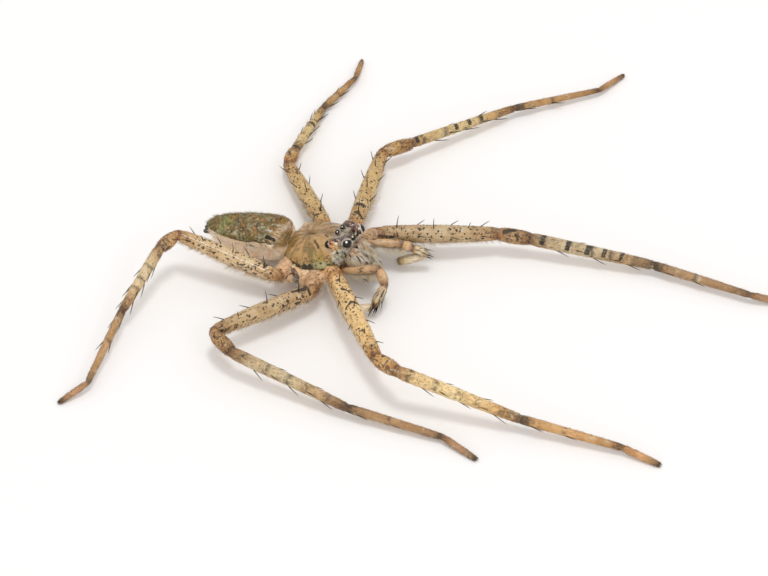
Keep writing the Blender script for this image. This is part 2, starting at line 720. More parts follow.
def leg_finish():
    """Straw skin with dark dots, squiggles and bands, brown at the joints."""
    f = Finish("leg_skin", Specular_IOR_Level=0.45)
    limb = f.read("limb")
    grain = f.read("grain")
    share = f.read("share", "Fac")
    warm = f.read("warm", "Fac")
    _, y, z = f.split(limb)
    height = f.split(grain)[2]
    angle = f.calc("ARCTAN2", y, z)
    flat = f.unite(f.split(grain)[0], f.both(angle, LEG_WIDE))
    wobble = f.noise(flat, 4.0, 2.0, dims="2D", output="Color")
    shaken = f.shift(flat, wobble, 0.2)
    f.coat = f.ramp(f.calc("DIVIDE", share, 6.0), [(s / 6, c) for s, c in LEG_COAT])
    f.coat = f.vec("SCALE", f.coat, c=f.read("light", "Fac"))
    f.lay(f.mix(1.0, f.coat, (1.02, 0.96, 0.7), "MULTIPLY"), warm)
    # Paler underside, and patches lighter, greyer and darker
    f.lay("#d9b894", f.fade(height, -0.05, -0.6), 0.5)
    patch = f.noise(grain, 0.9, 3.0, 0.6)
    f.lay(f.mix(1.0, f.coat, (0.74, 0.66, 0.55), "MULTIPLY"), f.fade(patch, 0.48, 0.75))
    f.lay("#d8cfb0", f.fade(patch, 0.45, 0.28), 0.55)
    fibres = f.noise(f.stretch(grain, (1.2, 9.0, 9.0)), 1.0, 3.0, 0.3)
    f.lay((0.26, 0.16, 0.08), f.fade(fibres, 0.4, 0.75), 0.35)
    # Folds of the coxa, dark in their depths
    hip = f.fade(share, 1.02, 0.97)
    folds = f.noise(f.stretch(grain, (1.6, 0.9, 1.4)), 1.0, 3.0, 1.2)
    f.lay("#9a6238", hip, f.fade(folds, 0.54, 0.66))
    f.lay("#3d2414", hip, f.fade(folds, 0.64, 0.7))
    f.lay("#e2c19b", hip, f.fade(folds, 0.42, 0.32), 0.7)
    # Brown mottling towards the ends of the parts and on the patella
    near_end = f.fade(f.calc("PINGPONG", share, 0.5), 0.3, 0.06)
    kneecap = f.between(share, 1.98, 2.02, 3.0, 2.97)
    mottle = f.fade(f.noise(shaken, 1.9, 2.5, 0.7, dims="2D"), 0.52, 0.6)
    zone = f.most(f.both(near_end, 0.75), kneecap)
    f.lay("#553820", mottle, zone, f.fade(height, -0.4, 0.0), 0.75)
    # Dots of three sizes, thickest on the femur
    femur = f.between(share, 1.015, 1.05, 1.99, 1.95)
    outer = f.fade(height, -0.5, -0.22)
    ink = f.most(dots(f, shaken, 1.25, 0.08, 0.07, 0.45), dots(f, shaken, 2.3, 0.05, 0.05, 0.5))
    small = f.both(dots(f, shaken, 3.6, 0.03, 0.03, 0.72), f.fade(share, 4.3, 3.9))
    ink = f.both(ink, f.most(femur, f.both(f.fade(share, 4.9, 4.0), 0.35)))
    ink = f.both(f.most(ink, small), outer)
    # Thin crooked lines in patches, mostly near the ends of the femur
    patchy = f.fade(f.noise(flat, 0.8, 1.0, dims="2D"), 0.5, 0.57)
    femur_end = f.both(femur, f.fade(f.calc("PINGPONG", share, 0.5), 0.42, 0.25))
    crooked = f.both(squiggles(f, shaken, 1.15, 0.034), patchy, outer, f.fade(share, 4.0, 3.6),
                     f.most(femur_end, f.both(f.fade(share, 1.9, 2.0), kneecap)))
    ink = f.most(ink, crooked)
    # Broken rings on the tibia, and a dark patch and a spot on the metatarsus
    ring = f.ramp(f.less(share, 3.0), [
        (0.0, 0.0), (0.06, 0.2), (0.1, 0.9), (0.14, 0.1), (0.27, 0.0), (0.31, 0.9), (0.35, 0.1),
        (0.46, 0.0), (0.5, 0.95), (0.54, 0.1), (0.62, 0.0), (0.65, 0.9), (0.69, 0.05), (0.8, 0.0),
        (0.84, 0.8), (0.9, 0.0), (1.0, 0.0)])
    blotch = f.fade(f.noise(grain, 1.5, 2.0, 0.8), 0.4, 0.52)
    rings = f.both(f.split(ring)[0], blotch, f.fade(share, 2.99, 3.01), f.fade(height, -0.35, 0.0))
    late = f.ramp(f.less(share, 4.0), [
        (0.0, 0.0), (0.02, 0.8), (0.09, 0.8), (0.13, 0.0), (0.4, 0.0), (0.44, 0.85), (0.48, 0.0),
        (0.86, 0.0), (0.97, 0.7), (1.0, 0.0)])
    rings = f.most(rings, f.both(f.split(late)[0], blotch, f.fade(share, 3.99, 4.01)))
    f.lay("#33241a", rings, 0.85)
    # Single marks
    for leg, start, end, width in MARKS:
        ends = on_leg(leg, start, end)
        ink = f.most(ink, stroke(f, shaken, *ends, width * 1.6))
    f.lay(INK, ink, 0.93)
    # Pale line along the top of the right fourth femur
    ends = on_leg("r4", (1.3, 33), (10.5, 24))
    f.lay("#f7eedb", stroke(f, flat, *ends, 0.08), 0.6)
    fine = f.noise(f.stretch(grain, (4.0, 16.0, 16.0)), 1.0, 3.0)
    rough = f.calc("MULTIPLY_ADD", fine, 0.3, 0.28)
    normal = f.bump(fine, 0.00003, 0.6, f.bump(patch, 0.0002, 0.35))
    normal = f.bump(f.both(folds, hip), 0.0005, 0.7, normal)
    return f.done(f.coat, rough, normal)


def hair_finish(name, rough=0.42):
    """Hair that carries its own colour from root to tip."""
    f = Finish(name, Specular_IOR_Level=0.35, Roughness=rough)
    return f.done(f.read("tint", "Color"))


def shell_finish():
    """Head shield: olive flanks, tan top, tan rays from the middle pit and a broken dark margin."""
    f = Finish("shell", Specular_IOR_Level=0.5, Coat_Weight=0.35, Coat_Roughness=0.14)
    p = f.read("limb")
    above = f.read("above", "Fac")
    x, y, z = f.split(p)
    along = f.plus(x, 0.75)
    angle = f.calc("ARCTAN2", y, along)
    away = f.vec("LENGTH", f.unite(along, y))
    cloud = f.noise(p, 0.8, 3.0, 0.5)
    wobble = f.noise(p, 1.3, 2.0, output="Color")
    bent = f.shift(p, wobble, 0.9)
    f.coat = f.ramp(above, [(0.0, "#b3a44a"), (0.2, "#ad9743"), (0.45, "#ab8a3e"), (0.7, "#a47c3e"),
                          (1.0, "#9a713a")])
    rear = f.both(f.fade(x, 0.4, -1.6), f.fade(above, 0.8, 0.3))
    f.lay("#b0a23a", rear, 0.7)
    f.lay("#6a6030", f.fade(cloud, 0.48, 0.66), 0.65)
    f.lay("#b09d67", f.fade(cloud, 0.45, 0.3), 0.6)
    front = f.both(f.fade(x, -0.2, 0.9), f.fade(above, 0.42, 0.12))
    f.lay("#bfc69c", front, 0.85)
    # Rays of tan that widen outwards, with dark specks between them
    polar = lambda turn, reach, z=0.0: f.unite(f.both(angle, turn), f.both(away, reach), z)
    wide = polar(2.6, 0.22)
    ray = f.noise(wide, 1.05, 1.5, 0.3)
    beyond = f.fade(away, 0.3, 0.9)
    f.lay("#ba8f58", f.fade(ray, 0.5, 0.57), beyond, f.fade(above, 0.1, 0.25))
    pale = f.noise(polar(4.5, 0.4, 2.0), 1.3)
    f.lay("#c9b780", f.fade(pale, 0.53, 0.7), beyond, 0.45)
    cracks = f.noise(polar(6.0, 1.5, 5.0), 1.0, 3.0, 1.2)
    f.lay("#6b4a26", f.fade(cracks, 0.56, 0.7), beyond, 0.35)
    specks = f.most(dots(f, bent, 2.2, 0.07, 0.08, 0.3, "3D"),
                    dots(f, bent, 3.8, 0.04, 0.05, 0.3, "3D"))
    zone = f.both(f.fade(f.noise(wide, 2.4, 1.0), 0.46, 0.52), f.fade(above, 0.66, 0.45), beyond)
    curls = squiggles(f, bent, 1.3, 0.03, "3D")
    curls = f.both(curls, f.fade(above, 0.7, 0.5), f.fade(cloud, 0.44, 0.5))
    flecks = f.noise(polar(7.0, 2.6), 1.3, 2.0, 0.8)
    flecks = f.both(f.fade(flecks, 0.62, 0.68), f.fade(above, 0.75, 0.5), f.fade(ray, 0.54, 0.47))
    ink = f.most(f.both(specks, zone), curls, f.both(flecks, beyond))
    f.lay("#231d10", ink, 0.85)
    # Margin: a broken black fringe, and pale specks in it
    ragged = f.plus(above, f.both(f.noise(p, 2.6, 3.0), 0.34))
    ragged = f.less(ragged, f.both(f.fade(x, -0.6, -2.6), 0.13))
    margin = f.both(f.fade(ragged, 0.54, 0.44), f.fade(x, 1.3, 0.4))
    f.lay("#1a160c", margin, 0.93)
    chip = f.both(margin, f.fade(f.noise(p, 2.0, 2.0), 0.58, 0.64))
    f.lay("#b9bd98", chip)
    # Top: brown streaks, the pit's short dark line, and darker skin round the eyes
    streak = f.noise(f.stretch(p, (0.7, 3.2, 2.0)), 1.0, 3.0, 0.8)
    streak = f.both(f.fade(streak, 0.5, 0.7), f.fade(above, 0.6, 0.85), f.fade(x, 3.2, 1.8))
    f.lay("#6b4f2c", streak, 0.7)
    pit = stroke(f, f.unite(x, y), (-1.0, 0.0), (-0.1, 0.02), 0.16)
    f.lay("#4a2f1a", pit, 0.8)
    for start, end in (((0.75, -1.55), (1.05, -1.9)), ((0.35, -1.2), (0.55, -1.45)),
                       ((0.75, 1.55), (1.05, 1.9)), ((1.3, -0.55), (1.7, -0.8)),
                       ((1.35, 0.6), (1.7, 0.75))):
        f.lay("#2c2015", stroke(f, f.unite(x, y), start, end, 0.22), 0.85)
    head = f.both(f.fade(x, 1.9, 2.5), f.fade(above, 0.5, 0.75))
    f.lay("#9c948a", head, 0.75)
    lock = f.noise(f.stretch(bent, (1.4, 5.0, 3.0)), 1.0, 2.0, 0.8)
    f.lay("#3e342c", head, f.fade(lock, 0.5, 0.6), 0.75)
    cheek = f.both(f.fade(x, 2.3, 2.7), f.fade(above, 0.75, 0.5))
    f.lay("#dcd5b2", cheek, 0.85)
    lines = f.noise(f.stretch(bent, (5.0, 5.0, 1.4)), 1.0, 2.0, 0.8)
    f.lay("#7f7a4a", cheek, f.fade(lines, 0.54, 0.64), 0.8)
    f.lay("#1d1810", cheek, dots(f, p, 3.2, 0.1, 0.12, 0.45, "3D"))
    # Folded, oily sheen
    hairs = f.noise(polar(26.0, 1.4, z), 1.0, 3.0)
    rough = f.calc("MULTIPLY_ADD", hairs, 0.3, 0.2)
    normal = f.bump(hairs, 0.00004, 0.4, f.bump(ray, 0.0004, 0.5, f.bump(cracks, 0.00008, 0.4)))
    return f.done(f.coat, rough, normal)


def abdomen_finish():
    """Mottled swirls of green, brown, orange and grey on top, pink-beige sides."""
    f = Finish("abdomen_skin", Specular_IOR_Level=0.5)
    p = f.read("limb")
    above = f.read("above", "Fac")
    x, y, z = f.split(p)
    warp = f.noise(p, 0.55, 1.5, output="Color")
    bent = f.shift(p, warp, 3.6)
    # Patches of colour, crossed by curved glossy strands
    patch = f.noise(bent, 0.7, 2.5, 0.7)
    f.coat = f.ramp(patch, [
        (0.3, "#6f7434"), (0.37, "#8b8446"), (0.42, "#94683a"), (0.47, "#b07f48"), (0.51, "#6e4f2d"),
        (0.55, "#a58e60"), (0.6, "#b9b49c"), (0.65, "#857c48"), (0.7, "#bb8648"), (0.78, "#8f5c31")])
    green = f.fade(f.plus(x, f.both(patch, 3.0)), -4.3, -6.0)
    f.lay("#8c8048", green, 0.5)
    silver = f.fade(f.noise(bent, 0.75, 1.5), 0.5, 0.58)
    silver = f.both(silver, f.between(x, -6.2, -5.0, -1.6, -2.6))
    f.lay("#aba98a", silver, 0.65)
    fine = f.noise(f.stretch(bent, (0.9, 3.1, 3.1)), 1.0, 3.0, 0.7)
    cross = f.noise(f.stretch(bent, (3.0, 0.9, 2.0)), 1.0, 3.0, 0.7)
    which = f.fade(f.noise(p, 0.6, 1.0), 0.46, 0.54)
    strand = f.plus(f.both(fine, which), f.both(cross, f.less(1.0, which)))
    bold = f.fade(f.noise(bent, 0.9, 1.0), 0.42, 0.58)
    dark = f.calc("MULTIPLY_ADD", bold, 0.55, 0.15)
    f.lay("#33240f", f.fade(strand, 0.52, 0.64), dark)
    f.lay("#d3bd86", f.fade(strand, 0.46, 0.34), 0.55)
    swirl = f.waves(bent, 0.6, 5.0, 2.0, 0.7)
    f.lay("#3c3219", f.fade(swirl, 0.25, 0.05), 0.5)
    streak = f.both(f.between(x, -7.5, -7.0, -6.2, -6.7), f.fade(cross, 0.42, 0.5))
    f.lay("#93a552", streak, 0.55)
    spot = f.both(f.fade(f.noise(bent, 1.5, 1.5), 0.6, 0.66), f.fade(x, -7.2, -6.4))
    f.lay("#1f1a0d", spot, 0.8)
    gold = f.both(f.fade(x, -3.0, -1.6), f.fade(above, 0.45, 0.7), f.fade(fine, 0.49, 0.42),
                  f.fade(f.noise(bent, 1.1, 1.0), 0.44, 0.52))
    f.lay("#c48f3c", gold, 0.7)
    # The crease across the back, and the dark line below it
    ridge = stroke(f, f.unite(x, y), (-4.0, -0.4), (-2.6, 1.0), 0.16)
    f.lay("#b89a68", ridge, 0.6)
    line = stroke(f, f.nudge(f.unite(x, y), warp, 0.5), (-4.6, -1.5), (-3.7, -0.9), 0.26)
    f.lay("#1d170d", line, 0.85)
    # Sides below the dorsal pattern, marbled blue-grey near the front
    edge = f.plus(above, f.both(f.noise(p, 0.9, 3.0), 0.5))
    edge = f.less(edge, f.both(f.fade(x, -3.2, -1.6), 0.16))
    edge = f.less(edge, f.both(f.fade(x, -6.8, -7.8), 0.25))
    side = f.ramp(f.noise(p, 1.1, 3.0), [(0.3, "#f6d0aa"), (0.5, "#ffe6c6"), (0.75, "#fff5e2")])
    ribs = f.noise(f.stretch(p, (4.0, 1.0, 0.8)), 1.0, 2.0, 0.4)
    side = f.mix(f.both(f.fade(ribs, 0.5, 0.7), 0.25), side, "#cfa48a")
    marble = f.both(f.fade(f.noise(bent, 1.3, 2.0), 0.5, 0.56),
                    f.between(x, -4.6, -4.0, -1.6, -2.3), f.fade(edge, 0.1, 0.25))
    side = f.mix(f.both(marble, 0.8), side, "#5c6064")
    f.coat = f.mix(f.fade(edge, 0.53, 0.58), side, f.coat)
    rim = f.both(f.between(edge, 0.5, 0.56, 0.68, 0.6), f.fade(x, -6.4, -5.6))
    f.lay("#221b0f", rim, 0.6)
    # Blunt front, cut off aslant, with a bright crest along its upper edge
    face = f.ramp(f.noise(f.stretch(p, (1.0, 2.5, 0.8)), 1.2, 3.0),
                  [(0.3, "#6e5a34"), (0.55, "#96794d"), (0.75, "#b0926b")])
    cut = f.plus(f.calc("MULTIPLY_ADD", y, -0.44, x), f.both(fine, 0.5))
    beyond = f.fade(cut, -0.3, -0.1)
    f.lay(face, beyond, f.fade(above, 0.0, 0.3))
    crest = f.both(f.between(cut, -0.95, -0.55, 0.1, -0.2), f.fade(above, 0.35, 0.6))
    tuft = f.ramp(f.noise(f.stretch(p, (1.5, 7.0, 1.0)), 1.0, 2.0),
                  [(0.35, "#a8722f"), (0.46, "#c8ad8c"), (0.55, "#ded0bd"), (0.62, "#b07a3a"),
                   (0.7, "#7c6038")])
    f.lay(tuft, crest, 0.7)
    near = f.fade(y, -0.5, -1.0)
    lie = f.vec("ADD", f.shift(f.unite(x, z), warp, 0.7), f.unite(0.0, f.both(strand, 0.3)))
    strip = f.most(stroke(f, lie, (-2.8, 2.0), (-1.7, 1.78), 0.16),
                   stroke(f, lie, (-2.4, 1.2), (-1.4, 1.1), 0.14))
    f.lay("#e3ddd0", strip, near, 0.65)
    slit = f.most(stroke(f, lie, (-2.15, 1.5), (-1.75, 1.48), 0.27),
                  stroke(f, lie, (-1.8, 1.48), (-1.25, 1.38), 0.24))
    f.lay("#140d07", slit, near)
    rough = f.calc("MULTIPLY_ADD", fine, 0.35, 0.22)
    normal = f.bump(strand, 0.00025, 0.6, f.bump(swirl, 0.00025, 0.5, f.bump(ribs, 0.0002, 0.3)))
    return f.done(f.coat, rough, normal)


def palp_finish():
    """Palp: tan femur with dark marks, glossy patella, cream tibia and an olive-brown tip."""
    f = Finish("palp_skin", Specular_IOR_Level=0.5, Coat_Weight=0.3, Coat_Roughness=0.15)
    grain = f.read("grain")
    share = f.read("share", "Fac")
    height = f.split(grain)[2]
    f.coat = f.ramp(f.calc("DIVIDE", share, 5.0), [(s / 5, c) for s, c in (
        (0.0, "#b98f68"), (0.95, "#a87d55"), (1.1, "#c39c70"), (1.7, "#caa478"), (1.92, "#a3774c"),
        (2.0, "#6b4226"), (2.1, "#c79a6b"), (2.6, "#d9b487"), (2.88, "#a8764a"), (2.98, "#3f2414"),
        (3.08, "#8a6038"), (3.2, "#d8c094"), (3.6, "#e6d6b2"), (3.9, "#c9a878"), (4.0, "#8a6a48"),
        (4.1, "#e6d2b0"), (4.5, "#ecdcbc"), (4.8, "#cdb98a"), (4.92, "#7a6632"), (5.0, "#5a4a22"))])
    cloud = f.noise(grain, 1.2, 3.0, 0.6)
    f.lay("#a5794c", f.fade(cloud, 0.5, 0.66), 0.5)
    f.lay("#f0e4c8", f.fade(cloud, 0.42, 0.3), 0.4)
    marks = f.both(f.fade(f.noise(f.stretch(grain, (1.0, 1.6, 1.6)), 1.5, 1.5, 0.8), 0.57, 0.61),
                   f.between(share, 1.05, 1.15, 2.1, 2.0), f.fade(height, -0.35, -0.1))
    stripe = f.both(f.fade(f.noise(f.stretch(grain, (0.35, 4.0, 4.0)), 1.0, 1.0), 0.6, 0.64),
                    f.between(share, 3.1, 3.25, 4.0, 3.9))
    f.lay(INK, f.most(marks, stripe), 0.85)
    fine = f.noise(f.stretch(grain, (3.0, 12.0, 12.0)), 1.0, 3.0)
    return f.done(f.coat, f.calc("MULTIPLY_ADD", fine, 0.25, 0.22), f.bump(fine, 0.00003, 0.5))


def soft_finish(name, pale, mid, dark, marks, stains=()):
    """Soft folded skin in three shades, with brown flecks and larger stains given by their ends."""
    f = Finish(name, Specular_IOR_Level=0.45)
    p = f.place()
    fold = f.noise(f.stretch(p, (1.0, 1.0, 1.6)), 1.4, 4.0, 0.9)
    f.coat = f.ramp(fold, [(0.3, dark), (0.5, mid), (0.7, pale)])
    fleck = f.fade(f.noise(p, 1.1, 2.5, 1.4), 0.6, 0.65)
    f.lay("#4c3320", fleck, marks)
    x, y, _ = f.split(f.nudge(p, f.unite(fold, fleck), 0.4))
    for start, end in stains:
        f.lay("#3c2112", stroke(f, f.unite(x, y), start, end, 0.55), 0.85)
    fine = f.noise(p, 9.0, 3.0)
    normal = f.bump(fine, 0.00003, 0.5, f.bump(fold, 0.0003, 0.5))
    return f.done(f.coat, f.calc("MULTIPLY_ADD", fine, 0.3, 0.3), normal)


def facing(finish, way, wide, soft):
    """Mask of the skin that faces one fixed way, within the cosine of an angle."""
    normal = finish.add("TexCoord").outputs["Normal"]
    cosine = finish.vec("DOT_PRODUCT", normal, tuple(Vector(way).normalized()))
    return finish.fade(cosine, wide, wide + soft)


def eye_finish():
    """Glossy olive-black lens with a small bright catchlight."""
    f = Finish("eye_lens", Specular_IOR_Level=0.4, Roughness=0.04)
    p = f.add("TexCoord").outputs["Object"]
    f.coat = f.mix(f.fade(f.noise(p, 600.0, 1.0), 0.4, 0.6), "#040402", "#12110a")
    f.lay("#1d1a0c", facing(f, (0.1, -0.1, -1.0), 0.1, 0.6))
    f.lay("#f4f2ea", facing(f, (0.2, -0.53, 0.82), 0.968, 0.014))
    return f.done(f.coat)


def mound_finish(name, *shades, arc=0.0):
    """Glossy skin of a mound that carries an eye, in four shades from its inner side to its outer,
    with a small bright spot and, where arc is 1, a pale crescent."""
    f = Finish(name, Coat_Weight=0.6, Coat_Roughness=0.06, Specular_IOR_Level=0.5)
    p = f.place()
    cloud = f.noise(p, 2.6, 2.0, 0.8)
    reach = f.plus(f.read("outer", "Fac"), f.both(f.less(cloud, 0.5), 2.2))
    f.coat = f.ramp(reach, list(zip((0.3, 0.45, 0.6, 0.8), shades)))
    f.lay("#efe6da", facing(f, (0.64, -0.25, 0.72), 0.972, 0.012))
    middle = (0.46, -0.88, 0.11)
    crescent = f.both(facing(f, middle, 0.6, 0.05), facing(f, (0.88, 0.47, 0.0), -0.2, 0.2))
    crescent = f.less(crescent, facing(f, middle, 0.68, 0.05))
    f.lay("#d9c7b8", f.most(crescent, 0.0), arc)
    return f.done(f.coat, 0.22, f.bump(cloud, 0.0001, 0.3))


def plain_finish(name, shade, rough, speckle, **sockets):
    """One shade, clouded by a darker one."""
    f = Finish(name, **sockets)
    p = f.place()
    cloud = f.noise(p, 2.5, 3.0)
    return f.done(f.mix(f.fade(cloud, 0.4, 0.65), shade, speckle), rough, f.bump(cloud, 0.00005, 0.4))


# Skins

# Length of the narrow collar at each end of a limb's tube
COLLAR = 0.16


def limb_tube(start, end, radii, trims, sides, lip, steps):
    """Tube from point to point with a waist at each joint: radii at its start, middle and end."""
    way = end - start
    length = way.length
    low, high = trims[0], length - trims[1]
    rings = [(low, radii[0] * lip), (low + COLLAR, radii[0])]
    for i in range(1, steps):
        share = i / steps
        height = low + COLLAR + (high - low - 2 * COLLAR) * share
        base = radii[0] * (1 - share) + radii[2] * share
        wide = base + (radii[1] - (radii[0] + radii[2]) / 2) * math.sin(math.pi * share)
        rings.append((height, wide))
    rings += [(high - COLLAR, radii[2]), (high, radii[2] * lip)]
    return lay_along(tube("run", rings, sides), start, way)


def trim_at(joints, k, reach, gap, most):
    """How far a tube stops short of a joint, so that the bend bridges smoothly."""
    if k in (0, len(joints) - 1):
        return 0.0
    bend = (joints[k] - joints[k - 1]).angle(joints[k + 1] - joints[k])
    return gap + reach * math.tan(min(bend, most) / 2) * 0.72


def leg_joints(name):
    """Coxa root, femur base and the joints down to the tip of a leg."""
    pair, root, base, bearings, climbs, _ = LEGS[name]
    sizes = LEG_SIZES[pair]
    joints = [Vector(root), Vector(base)]
    foot = GIRTH["tarsus"][1] * sizes["thick"] - FOOT_SINK
    for part, bearing, climb in zip(PARTS, bearings, [*climbs, None]):
        rise = math.asin((foot - joints[-1].z) / sizes[part]) if climb is None else math.radians(climb)
        turn = math.radians(bearing)
        way = Vector((math.cos(turn) * math.cos(rise), math.sin(turn) * math.cos(rise), math.sin(rise)))
        joints.append(joints[-1] + way * sizes[part])
    return joints


def make_leg(name):
    """Skin of one leg from its coxa to the foot, in one closed surface."""
    pair, *_, warm = LEGS[name]
    thick = LEG_SIZES[pair]["thick"]
    joints = leg_joints(name)
    girths = [(COXA_RADIUS * 0.9, COXA_RADIUS, GIRTH["femur"][0] * thick * 1.02)]
    for part in PARTS:
        slim = SLIM[name] if part in PARTS[2:] else 1.0
        first, last, swell = (share * thick * slim for share in GIRTH[part])
        girths.append((first, (first + last) / 2 + swell, last))
    tubes = []
    for i, (start, end) in enumerate(zip(joints, joints[1:])):
        trims = [trim_at(joints, i + k, girths[i][2 * k], 0.07, 2.0) for k in (0, 1)]
        tubes.append(limb_tube(start, end, girths[i], trims, 16, 0.84, 6))
    leg = chain(f"skin_leg_{name}", tubes, 16)
    rounded(leg)
    note_limb(leg, joints, (joints[1] - joints[0]).length, LEG_NUMBER[name], warm)
    note(leg, "light", np.full(len(points_of(leg)), LIGHT[name]), "FLOAT")
    return leg, joints


def turned(heading, pitch=0.0):
    """Turn of a body by its heading and its pitch, in degrees."""
    return Euler((0, math.radians(-pitch), math.radians(heading))).to_matrix()


def make_vault(name, stations, sides, shoulder, at, heading, pitch, lean, levels):
    """Domed body laid along its heading, with its own measures noted on it."""
    piece = vault(name, stations, sides, shoulder, lean)
    turn = turned(heading, pitch)
    lay_along(piece, at, turn @ Vector((1, 0, 0)), turn @ Vector((0, 0, 1)))
    return rounded(piece, levels)


def note_vault(piece, stations, at, heading, pitch):
    """Stores each corner's place in the dome's own frame and its height above the rim."""
    turn = np.array(turned(heading, pitch))
    own = (points_of(piece) - np.array(at)) @ turn
    measures = np.array(stations)
    rim = np.interp(own[:, 0], measures[:, 0], measures[:, 2])
    top = np.interp(own[:, 0], measures[:, 0], measures[:, 3])
    note(piece, "limb", own)
    note(piece, "above", np.clip((own[:, 2] - rim) / np.maximum(top - rim, 0.2), -1, 1.2), "FLOAT")


def letter_of(side):
    """Letter of the side, -1 for the right and 1 for the left one."""
    return "r" if side < 0 else "l"


def on_side(spot, side):
    """A spot given for the left side, on that side or mirrored to the right one."""
    x, y, z = spot
    return Vector((x, HEAD_MIDDLE + side * y, z))


def on_head(spot, side):
    """Mirrored like on_side, and carried along by the turn of the head."""
    x, y, z = spot
    return on_side((x + side * y * HEAD_TURN, y, z), side)


def shield_point(x, y, z):
    """Point of the head shield's own frame in the body frame."""
    return SHIELD_AT + turned(SHIELD_HEADING, SHIELD_PITCH) @ Vector((x, y, z))


def make_shield():
    """Head shield: domed, with a pit in the middle, faint grooves from it, and eye mounds."""
    piece = make_vault("shield", SHIELD, 40, 1.03, SHIELD_AT, SHIELD_HEADING, SHIELD_PITCH, 0, 3)
    for x in np.linspace(-1.2, -0.1, 5):
        drag(piece, shield_point(x, 0, 2.5), (0, 0, -0.16), 0.42)
    for angle in (35, 68, 100, 135, 165):
        for side in (-1, 1):
            for reach in (0.9, 1.3, 1.7, 2.1):
                turn = math.radians(angle)
                x, y = -0.5 + reach * math.cos(turn), side * reach * math.sin(turn)
                drag(piece, shield_point(x, y, 2.7 - 0.13 * reach ** 2), (0, 0, -0.07), 0.38)
    for side in (-1, 1):
        drag(piece, on_head((-4.85, 1.4, 5.1), side), (-0.05, side * 0.15, 0.06), 1.2)
        drag(piece, on_head((-3.75, 1.05, 5.5), side), (0.15, side * 0.2, 0.1), 0.7, "SPHERE")
        drag(piece, on_side((-3.0, 1.2, 3.9), side), (0.2, side * 0.15, -0.1), 1.1)
    drag(piece, (-4.2, HEAD_MIDDLE, 5.9), (0.0, 0.0, 0.08), 0.8)
    note_vault(piece, SHIELD, SHIELD_AT, SHIELD_HEADING, SHIELD_PITCH)
    return piece


def make_abdomen():
    """Abdomen: flat-topped, blunt in front, creased, with folds low on its sides."""
    piece = make_vault("abdomen_skin", ABDOMEN, 36, 1.1, ABDOMEN_AT, ABDOMEN_HEADING, 0,
                       ABDOMEN_LEAN, 2)
    turn = turned(ABDOMEN_HEADING)
    spot = lambda x, y, z: ABDOMEN_AT + turn @ Vector((x, y, z))
    for share in np.linspace(0, 1, 8):
        drag(piece, spot(-3.2 + share * 0.9, -1.7 + share * 2.0, 1.75), (0, 0, -0.13), 0.4)
    for x in np.linspace(-2.7, -1.0, 6):
        drag(piece, spot(x, -2.0, -0.15), turn @ Vector((0, 0.25, -0.05)), 0.42)
        drag(piece, spot(x, -1.9, 0.5), turn @ Vector((0, -0.12, 0.05)), 0.5)
    rng = np.random.default_rng(4)
    for _ in range(46):
        x, y = rng.uniform(-8.0, -0.6), rng.uniform(-1.9, 1.9)
        drag(piece, spot(x, y, 1.7 if abs(y) < 1.4 else 0.9), (0, 0, rng.uniform(-0.13, 0.1)),
             rng.uniform(0.35, 0.8))
    for x in np.linspace(-8.2, -6.6, 6):
        drag(piece, spot(x, -1.3, -0.5), turn @ Vector((0, 0.1, 0)), 0.2)
    for x in np.linspace(-6.0, -1.0, 9):
        drag(piece, spot(x, -1.9, -0.9), turn @ Vector((0, rng.uniform(-0.15, 0.15), 0.0)), 0.5)
    for x in np.linspace(-5.4, -0.9, 7):
        for side in SIDES.values():
            drag(piece, spot(x, side * 1.8, -1.5), turn @ Vector((0, side * 0.2, -0.02)), 1.5)
    note_vault(piece, ABDOMEN, ABDOMEN_AT, ABDOMEN_HEADING, 0)
    return piece


def ball(name, at, size, segments=32, rings=20):
    """Round body at a place, with three half sizes."""
    deselect()
    bpy.ops.mesh.primitive_uv_sphere_add(segments=segments, ring_count=rings, radius=1.0)
    piece = bpy.context.object
    piece.name = name
    bpy.ops.object.mode_set(mode="EDIT")
    bpy.ops.transform.resize(value=size, center_override=(0, 0, 0))
    bpy.ops.object.mode_set(mode="OBJECT")
    piece.location = at
    bpy.ops.object.transform_apply(location=True, rotation=True, scale=True)
    bpy.ops.object.shade_smooth()
    return piece


